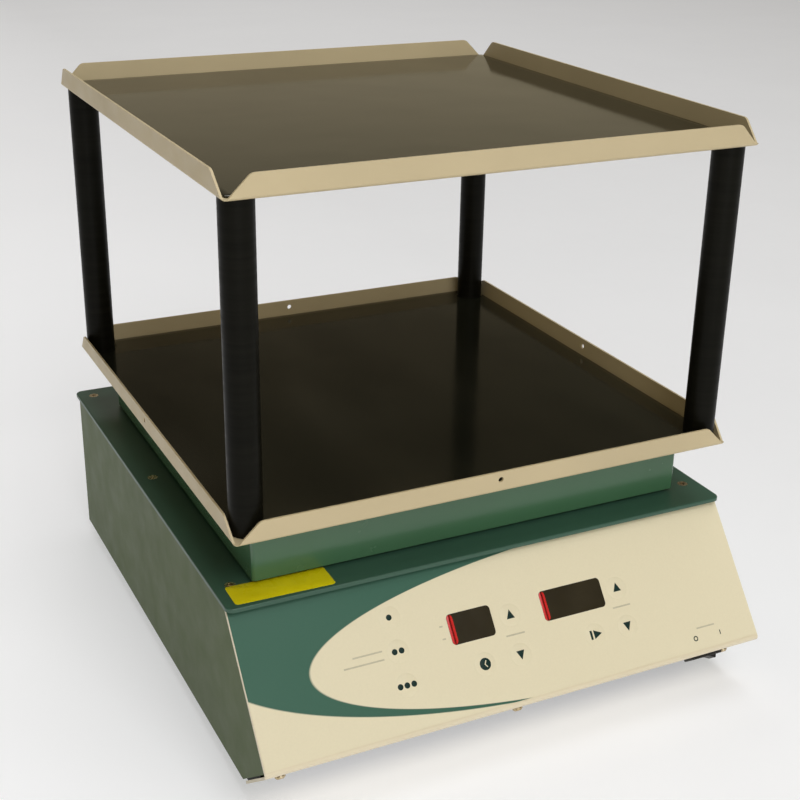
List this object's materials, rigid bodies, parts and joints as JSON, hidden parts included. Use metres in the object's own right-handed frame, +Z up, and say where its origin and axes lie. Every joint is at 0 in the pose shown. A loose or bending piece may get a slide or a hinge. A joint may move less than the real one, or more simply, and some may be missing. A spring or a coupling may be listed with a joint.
{
  "type": "orbital platform shaker",
  "caption": "Tiered orbital platform shaker: sheet-metal base with a sloping keypad panel; rimmed trays on corner posts run in a small circle on cranks.",
  "frame": {"origin": "on the bench, under the middle of the machine's footprint", "axes": "+Z up, +X to the right seen from the control panel, +Y from the panel to the back"},
  "size_m": [0.4, 0.4674, 0.4272],
  "materials": {
    "shell_green": "satin olive-green enamel",
    "deck_green": "dark green enamel",
    "skirt_green": "glossy green enamel",
    "tray_beige": "beige powder coat",
    "panel_cream": "cream enamel",
    "film_print": "printed polyester film",
    "key_film": "printed polyester film",
    "window_smoke": "dark tinted pane",
    "display_face": "dark red number module",
    "board_green": "printed circuit board",
    "nylon_white": "natural nylon",
    "moulded_black": "moulded black plastic",
    "yellow_zinc": "yellow zinc plate",
    "plain_zinc": "bright zinc plate",
    "foot_rubber": "moulded black rubber",
    "mat_rubber": "smooth black rubber",
    "post_black": "black anodised",
    "pin_brass": "plated brass",
    "floor_steel": "galvanised sheet",
    "supply_case": "mill finish",
    "motor_paint": "black enamel",
    "pulley_alloy": "turned",
    "belt_rubber": "flat belt",
    "housing_iron": "machined iron",
    "bearing_steel": "ground steel",
    "crank_steel": "turned steel"
  },
  "bodies": {
    "base": {"body_shell": "shell_green", "deck": "deck_green", "front_panel": "panel_cream", "panel_overlay": "film_print", "timer_window": "window_smoke", "speed_window": "window_smoke", "led_displays": "display_face", "control_board": "board_green", "board_spacers": "nylon_white", "power_switch": "moulded_black", "mains_inlet": "moulded_black", "key_switches": "moulded_black", "deck_screws": "yellow_zinc", "panel_screws": "yellow_zinc", "base_screws": "plain_zinc", "board_screws": "plain_zinc", "foot_screws": "plain_zinc", "inlet_screws": "plain_zinc", "motor_pillars": "plain_zinc", "rubber_feet": "foot_rubber", "inlet_pins": "pin_brass", "base_plate": "floor_steel", "motor_plate": "floor_steel", "power_supply": "supply_case", "motor": "motor_paint", "drive_belt": "belt_rubber", "main_housing": "housing_iron", "idler_housings": "housing_iron", "base_bearings": "bearing_steel"},
    "crank": {"main_crank": "crank_steel", "driven_pulley": "pulley_alloy", "counterweight": "housing_iron"},
    "carriage": {"carriage_pan": "skirt_green", "carriage_hubs": "housing_iron", "carriage_bearings": "bearing_steel", "lower_tray": "tray_beige", "lower_mat": "mat_rubber", "tray_screws": "plain_zinc", "upper_tray": "tray_beige", "upper_mat": "mat_rubber", "post_screws": "plain_zinc", "post_front_left": "post_black", "post_front_right": "post_black", "post_rear_left": "post_black", "post_rear_right": "post_black"},
    "rotor": {"motor_pulley": "pulley_alloy"},
    "rocker": {"power_rocker": "moulded_black"},
    "idler_front_left": {"idler_crank_front_left": "crank_steel"},
    "idler_front_right": {"idler_crank_front_right": "crank_steel"},
    "idler_rear_left": {"idler_crank_rear_left": "crank_steel"},
    "idler_rear_right": {"idler_crank_rear_right": "crank_steel"},
    "key_program_one": {"key_program_one": "key_film"},
    "key_program_two": {"key_program_two": "key_film"},
    "key_program_three": {"key_program_three": "key_film"},
    "key_timer_up": {"key_timer_up": "key_film"},
    "key_timer_down": {"key_timer_down": "key_film"},
    "key_timer_set": {"key_timer_set": "key_film"},
    "key_run": {"key_run": "key_film"},
    "key_speed_up": {"key_speed_up": "key_film"},
    "key_speed_down": {"key_speed_down": "key_film"}
  },
  "joints": [
    {"name": "main_spin", "type": "hinge", "parent": "base", "child": "crank", "pos_m": [0, 0.0307, 0], "axis": [0, 0, 1], "continuous": true},
    {"name": "carriage_swing", "type": "hinge", "parent": "crank", "child": "carriage", "pos_m": [0, 0.0207, 0], "axis": [0, 0, 1], "continuous": true},
    {"name": "idler_front_left_spin", "type": "hinge", "parent": "base", "child": "idler_front_left", "pos_m": [-0.12, -0.0793, 0], "axis": [0, 0, 1], "continuous": true},
    {"name": "idler_front_right_spin", "type": "hinge", "parent": "base", "child": "idler_front_right", "pos_m": [0.12, -0.0793, 0], "axis": [0, 0, 1], "continuous": true},
    {"name": "idler_rear_left_spin", "type": "hinge", "parent": "base", "child": "idler_rear_left", "pos_m": [-0.12, 0.1407, 0], "axis": [0, 0, 1], "continuous": true},
    {"name": "idler_rear_right_spin", "type": "hinge", "parent": "base", "child": "idler_rear_right", "pos_m": [0.12, 0.1407, 0], "axis": [0, 0, 1], "continuous": true},
    {"name": "motor_spin", "type": "hinge", "parent": "base", "child": "rotor", "pos_m": [0, 0.1497, 0], "axis": [0, 0, 1], "continuous": true},
    {"name": "power_rock", "type": "hinge", "parent": "base", "child": "rocker", "pos_m": [0.157, -0.22073, 0.03836], "axis": [0, -0.7813, 0.6242], "range_deg": [0, 22]},
    {"name": "program_one_press", "type": "slide", "parent": "base", "child": "key_program_one", "axis": [0, 0.7813, -0.6242], "range_m": [0, 0.0005], "stiffness_N_per_m": 400},
    {"name": "program_two_press", "type": "slide", "parent": "base", "child": "key_program_two", "axis": [0, 0.7813, -0.6242], "range_m": [0, 0.0005], "stiffness_N_per_m": 400},
    {"name": "program_three_press", "type": "slide", "parent": "base", "child": "key_program_three", "axis": [0, 0.7813, -0.6242], "range_m": [0, 0.0005], "stiffness_N_per_m": 400},
    {"name": "timer_up_press", "type": "slide", "parent": "base", "child": "key_timer_up", "axis": [0, 0.7813, -0.6242], "range_m": [0, 0.0005], "stiffness_N_per_m": 400},
    {"name": "timer_down_press", "type": "slide", "parent": "base", "child": "key_timer_down", "axis": [0, 0.7813, -0.6242], "range_m": [0, 0.0005], "stiffness_N_per_m": 400},
    {"name": "timer_set_press", "type": "slide", "parent": "base", "child": "key_timer_set", "axis": [0, 0.7813, -0.6242], "range_m": [0, 0.0005], "stiffness_N_per_m": 400},
    {"name": "run_press", "type": "slide", "parent": "base", "child": "key_run", "axis": [0, 0.7813, -0.6242], "range_m": [0, 0.0005], "stiffness_N_per_m": 400},
    {"name": "speed_up_press", "type": "slide", "parent": "base", "child": "key_speed_up", "axis": [0, 0.7813, -0.6242], "range_m": [0, 0.0005], "stiffness_N_per_m": 400},
    {"name": "speed_down_press", "type": "slide", "parent": "base", "child": "key_speed_down", "axis": [0, 0.7813, -0.6242], "range_m": [0, 0.0005], "stiffness_N_per_m": 400}
  ],
  "couplings": [
    {"joint": "carriage_swing", "follows": "main_spin", "ratio": -1},
    {"joint": "idler_front_left_spin", "follows": "main_spin", "ratio": 1},
    {"joint": "idler_front_right_spin", "follows": "main_spin", "ratio": 1},
    {"joint": "idler_rear_left_spin", "follows": "main_spin", "ratio": 1},
    {"joint": "idler_rear_right_spin", "follows": "main_spin", "ratio": 1},
    {"joint": "motor_spin", "follows": "main_spin", "ratio": 3.25}
  ]
}
